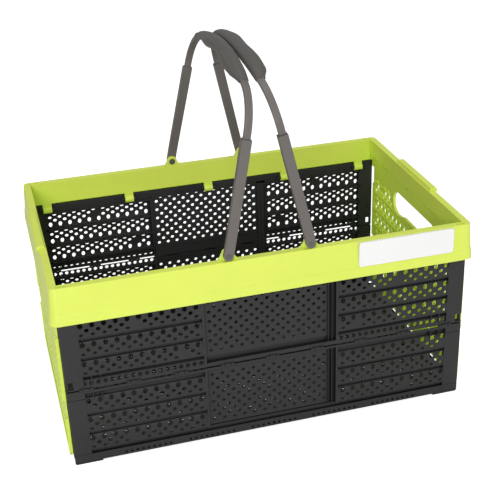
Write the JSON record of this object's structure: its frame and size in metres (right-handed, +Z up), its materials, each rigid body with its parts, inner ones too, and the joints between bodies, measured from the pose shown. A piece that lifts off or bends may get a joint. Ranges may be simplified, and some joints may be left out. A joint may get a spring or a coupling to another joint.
{
  "type": "folding shopping crate",
  "caption": "Folding shopping crate with perforated walls, a lipped rim, hinged end flaps with hand holes and swing handles with soft grips.",
  "frame": {"origin": "middle of the standing face, on the ground", "axes": "+X along the length of the crate, +Y from the label side to the other long side, +Z up"},
  "size_m": [0.48, 0.3, 0.4246],
  "materials": {
    "rim_green": "satin moulded polypropylene, lime green",
    "wall_charcoal": "satin moulded polypropylene, charcoal",
    "handle_grey": "fine textured plastic, warm grey",
    "grip_grey": "soft moulded grip, warm grey",
    "pin_grey": "turned plastic pin, dark grey",
    "label_white": "blank coated paper"
  },
  "bodies": {
    "base": {"base_tray": "wall_charcoal"},
    "front_lower": {"front_lower_wall": "wall_charcoal"},
    "front_upper": {"front_upper_wall": "wall_charcoal"},
    "back_lower": {"back_lower_wall": "wall_charcoal"},
    "back_upper": {"back_upper_wall": "wall_charcoal"},
    "rim": {"rim_frame": "rim_green", "blank_label": "label_white"},
    "left_flap": {"left_end_flap": "rim_green"},
    "right_flap": {"right_end_flap": "rim_green"},
    "left_handle": {"left_handle_front_leg": "handle_grey", "left_handle_back_leg": "handle_grey", "left_handle_strap": "handle_grey", "left_grip": "grip_grey", "left_front_pin": "pin_grey", "left_back_pin": "pin_grey"},
    "right_handle": {"right_handle_front_leg": "handle_grey", "right_handle_back_leg": "handle_grey", "right_handle_strap": "handle_grey", "right_grip": "grip_grey", "right_front_pin": "pin_grey", "right_back_pin": "pin_grey"}
  },
  "joints": [
    {"name": "fold", "type": "hinge", "parent": "base", "child": "front_lower", "pos_m": [0, -0.139, 0.0065], "axis": [-1, 0, 0], "range_deg": [0, 90]},
    {"name": "front_middle_hinge", "type": "hinge", "parent": "front_lower", "child": "front_upper", "pos_m": [0, -0.1445, 0.097], "axis": [1, 0, 0], "range_deg": [0, 180]},
    {"name": "front_rim_hinge", "type": "hinge", "parent": "front_upper", "child": "rim", "pos_m": [0, -0.139, 0.1875], "axis": [-1, 0, 0], "range_deg": [0, 90]},
    {"name": "back_base_hinge", "type": "hinge", "parent": "base", "child": "back_lower", "pos_m": [0, 0.139, 0.0065], "axis": [1, 0, 0], "range_deg": [0, 90]},
    {"name": "back_middle_hinge", "type": "hinge", "parent": "back_lower", "child": "back_upper", "pos_m": [0, 0.1445, 0.097], "axis": [-1, 0, 0], "range_deg": [0, 180]},
    {"name": "left_flap_hinge", "type": "hinge", "parent": "rim", "child": "left_flap", "pos_m": [-0.2336, 0, 0.201], "axis": [0, -1, 0], "range_deg": [0, 90]},
    {"name": "right_flap_hinge", "type": "hinge", "parent": "rim", "child": "right_flap", "pos_m": [0.2336, 0, 0.201], "axis": [0, 1, 0], "range_deg": [0, 90]},
    {"name": "left_handle_pivot", "type": "hinge", "parent": "rim", "child": "left_handle", "pos_m": [-0.046, 0, 0.2315], "axis": [0, -1, 0], "range_deg": [0, 97]},
    {"name": "right_handle_pivot", "type": "hinge", "parent": "rim", "child": "right_handle", "pos_m": [0.046, 0, 0.2315], "axis": [0, 1, 0], "range_deg": [0, 97]}
  ],
  "couplings": [
    {"joint": "front_middle_hinge", "follows": "fold", "ratio": 2},
    {"joint": "front_rim_hinge", "follows": "fold", "ratio": 1},
    {"joint": "back_base_hinge", "follows": "fold", "ratio": 1},
    {"joint": "back_middle_hinge", "follows": "fold", "ratio": 2}
  ]
}
